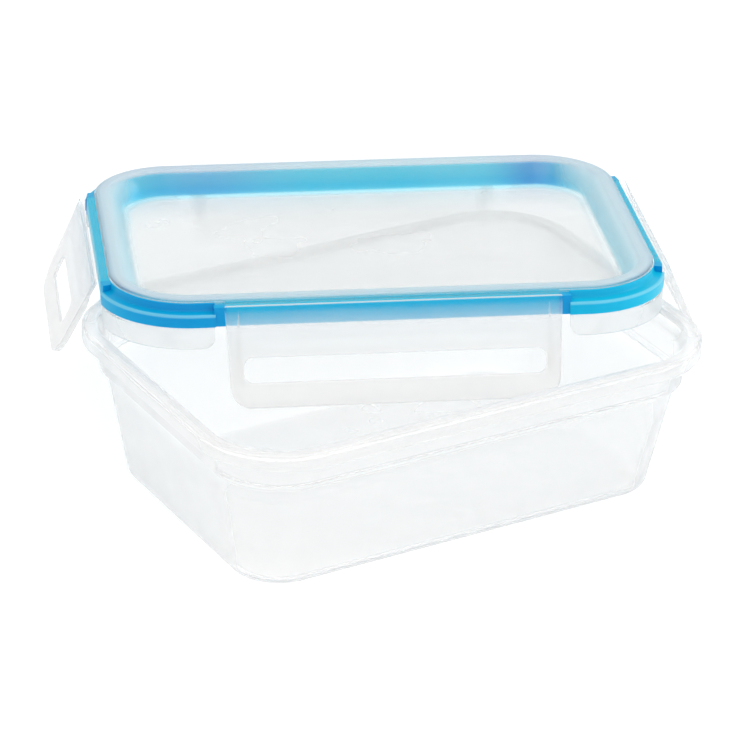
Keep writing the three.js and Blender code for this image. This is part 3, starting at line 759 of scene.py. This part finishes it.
def latch(name, hw, slot_half, hook_half, taper, r_foot, matrix):
    T = LATCH_T / 2
    top, foot = 0.0, -LATCH_LEN
    s_top, s_foot, s_r = -19.4, -28.6, 3.6

    def edge(d, y):      # a loop d inside the outer edge
        rf = max(0.8, r_foot - d)
        return flap_ring(hw - d, hw - taper - d, top - min(d, 0.3), foot + d, max(0.3, 0.7 - d), rf, y)

    def hole(d, y):      # a loop d outside the window's edge
        return flap_ring(slot_half + d, slot_half + d, s_top + d, s_foot - d, s_r + d, s_r + d, y)

    def lip(h):          # the inner lip fades out towards the hinge
        def y(x, z):
            t = min(1.0, max(0.0, (-z - 9.0) / 2.0))
            return T + h * t
        return y

    def frame_lip(h):
        return lambda x, z: T + h

    R = [edge(0.0, 0.0), edge(0.0, -0.25), edge(0.12, -0.48), edge(0.38, -T), edge(1.6, -T), edge(5.0, -T),
         hole(3.2, -T), hole(1.55, -T), hole(0.7, -T), hole(0.3, -T + 0.05), hole(0.06, -T + 0.25), hole(0.0, -T + 0.5), hole(0.0, T - 0.5),
         hole(0.06, T - 0.25), hole(0.3, T - 0.05), hole(0.7, T), hole(1.8, T), hole(3.2, T),
         edge(5.0, T), edge(2.2, T), edge(1.75, lip(0.1)), edge(1.6, lip(0.7)), edge(1.45, lip(0.95)), edge(1.0, lip(1.1)), edge(0.6, lip(1.05)), edge(0.35, lip(0.8)), edge(0.2, lip(0.2)), edge(0.06, 0.3)]
    v, f = loft(R, closed=True)
    o = build(name, v, f)
    # hook rib across the inner face
    sec = rounded([(0.45, -13.5), (2.6, -13.6), (2.93, -13.95), (2.15, -15.2), (0.45, -16.6)], [0, 0.3, 0.25, 0.4, 0], 3)
    n = len(sec)
    hv, xs = [], [-hook_half, -hook_half + 0.5, hook_half - 0.5, hook_half]
    for i, x in enumerate(xs):
        k = 0.72 if i in (0, 3) else 1.0
        hv += [(x, 0.45 + (y - 0.45) * k, -15.4 + (z + 15.4) * (0.5 + 0.5 * k)) for y, z in sec]
    hf = []
    for j in range(3):
        for i in range(n):
            k = (i + 1) % n
            hf.append((j * n + i, j * n + k, (j + 1) * n + k, (j + 1) * n + i))
    hf += [tuple(range(n)), tuple(range(3 * n, 4 * n))]
    hook = painted(build("hook", hv, hf), mat_rib)
    o = union(painted(o, mat_latch), [hook])
    at = o.data.attributes.new("reach", "FLOAT", "POINT")
    at.data.foreach_set("value", np.array([-v.co.z / (LATCH_LEN * MM) for v in o.data.vertices], np.float32))
    # painted highlight strength for the top edge: 0.6 on the front latch, 0.08 on the others
    at = o.data.attributes.new("hinge_edge_highlight", "FLOAT", "POINT")
    at.data.foreach_set("value", np.full(len(o.data.vertices), 0.6 if "front" in name else 0.08, np.float32))
    o.data.transform(matrix)
    return o


OPEN = {"front": 19.0, "right": 24.0, "back": 20.0, "left": 26.0}
TURN = {"front": 0, "right": 90, "back": 180, "left": -90}
LATCHES = {"front": (LONG_HALF, 56, 50, 1.2, 8.0), "right": (SHORT_HALF, 26, 32, 4.5, 13.0),
           "back": (LONG_HALF, 56, 50, 1.2, 8.0), "left": (SHORT_HALF, 26, 32, 4.5, 13.0)}
for side, (hw, sh, hh, tp, rf) in LATCHES.items():
    pos, _ = joint("latch_" + side + "_hinge")
    M = Matrix.Translation(pos) @ (LR @ Matrix.Rotation(math.radians(TURN[side]), 3, "Z") @ Matrix.Rotation(math.radians(-OPEN[side]), 3, "X")).to_4x4()
    o = latch("latch_" + side + "_flap", hw, sh, hh, tp, rf, M)
    finish(o, None, "latch_" + side, "latch_plastic", "latch_" + side)

# ------------------------------------------------------------------ living hinges
for side, s in SIDES.items():
    h = half(side) - 0.4
    sec = rounded([(-0.75, -1.2), (2.3, -1.0), (2.55, -1.3), (2.3, -1.6), (-0.75, -1.75)], [0, 0.2, 0.2, 0.2, 0], 3)
    web = sweep(sec, s - h, s + h, name="hinge_web_" + side + "_strip", matrix=LID)
    (x, y), (nx, ny) = on_path(s)
    a = LID @ Vector(((x + nx * -0.6) * MM, (y + ny * -0.6) * MM, HINGE_Z * MM))
    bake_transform(web)
    finish(web, mat_land, None, "lid_plastic", "hinge_web_" + side)

# ------------------------------------------------------------------ floor, light, camera
fm, nt = nodes_of("floor_white")
out = add(nt, "ShaderNodeOutputMaterial")
d = add(nt, "ShaderNodeBsdfDiffuse", Color=(0.9, 0.9, 0.9, 1))
e = add(nt, "ShaderNodeEmission", Color=(1, 1, 1, 1), Strength=0.145)
m = add(nt, "ShaderNodeAddShader")
link(nt, d.outputs[0], m.inputs[0])
link(nt, e.outputs[0], m.inputs[1])
link(nt, m.outputs[0], out.inputs["Surface"])
me = bpy.data.meshes.new("floor")
R = 6.0
me.from_pydata([(-R, -R, 0), (R, -R, 0), (R, R, 0), (-R, R, 0)], [], [(0, 1, 2, 3)])
floor = bpy.data.objects.new("floor", me)
bpy.context.scene.collection.objects.link(floor)
floor.location.z = -0.0002
me.materials.append(fm)

w = bpy.data.worlds.new("studio")
bpy.context.scene.world = w
w.use_nodes = True
wn = w.node_tree
wn.nodes.clear()
wo = wn.nodes.new("ShaderNodeOutputWorld")
bg = wn.nodes.new("ShaderNodeBackground")
bg.inputs["Color"].default_value = (1.0, 1.0, 1.0, 1)
bg.inputs["Strength"].default_value = 0.88
wn.links.new(bg.outputs[0], wo.inputs[0])


def area(name, loc, target, size, power, colour=(1, 1, 1)):
    l = bpy.data.lights.new(name, "AREA")
    l.shape = "RECTANGLE"
    l.size, l.size_y = size
    l.energy = power
    l.color = colour
    o = bpy.data.objects.new(name, l)
    o.location = loc
    o.rotation_euler = (Vector(target) - Vector(loc)).to_track_quat("-Z", "Y").to_euler()
    bpy.context.scene.collection.objects.link(o)
    return o


area("key_softbox", (-0.9, -1.0, 1.5), (0, 0, 0.03), (1.0, 1.0), 3.0)
area("top_softbox", (0.3, 0.6, 1.8), (0, 0, 0.03), (1.4, 1.0), 4.2)

area("right_softbox", (1.5, -0.9, 0.7), (0, 0, 0.05), (0.7, 0.9), 6.5)
area("strip_softbox", (0.1, -1.5, 1.0), (0, 0, 0.06), (1.6, 0.07), 2.4)

cam = bpy.data.cameras.new("camera")
cam.sensor_width = 36.0
cam.sensor_fit = "HORIZONTAL"
cam.lens = 4000.2 / 750 * 36
cam.clip_start = 0.05
cam.clip_end = 30
co = bpy.data.objects.new("camera", cam)
bpy.context.scene.collection.objects.link(co)
a, el, ro = math.radians(-31.42), math.radians(27.28), math.radians(2.06)
back = Vector((math.sin(a) * math.cos(el), -math.cos(a) * math.cos(el), math.sin(el)))
r0 = Vector((math.cos(a), math.sin(a), 0))
u0 = Vector((-math.sin(el) * math.sin(a), math.sin(el) * math.cos(a), math.cos(el)))
right = math.cos(ro) * r0 + math.sin(ro) * u0
up = -math.sin(ro) * r0 + math.cos(ro) * u0
eye = Vector((0, 0, 0.037)) + back * 1.5 + r0 * -0.00594 + u0 * 0.00413
co.matrix_world = Matrix.Translation(eye) @ Matrix((right, up, back)).transposed().to_4x4()
bpy.context.scene.camera = co

sc = bpy.context.scene
sc.view_settings.view_transform = "Standard"
sc.view_settings.look = "None"
sc.cycles.transparent_max_bounces = 64
sc.cycles.max_bounces = 16
sc.cycles.transmission_bounces = 16

bpy.context.view_layer.update()
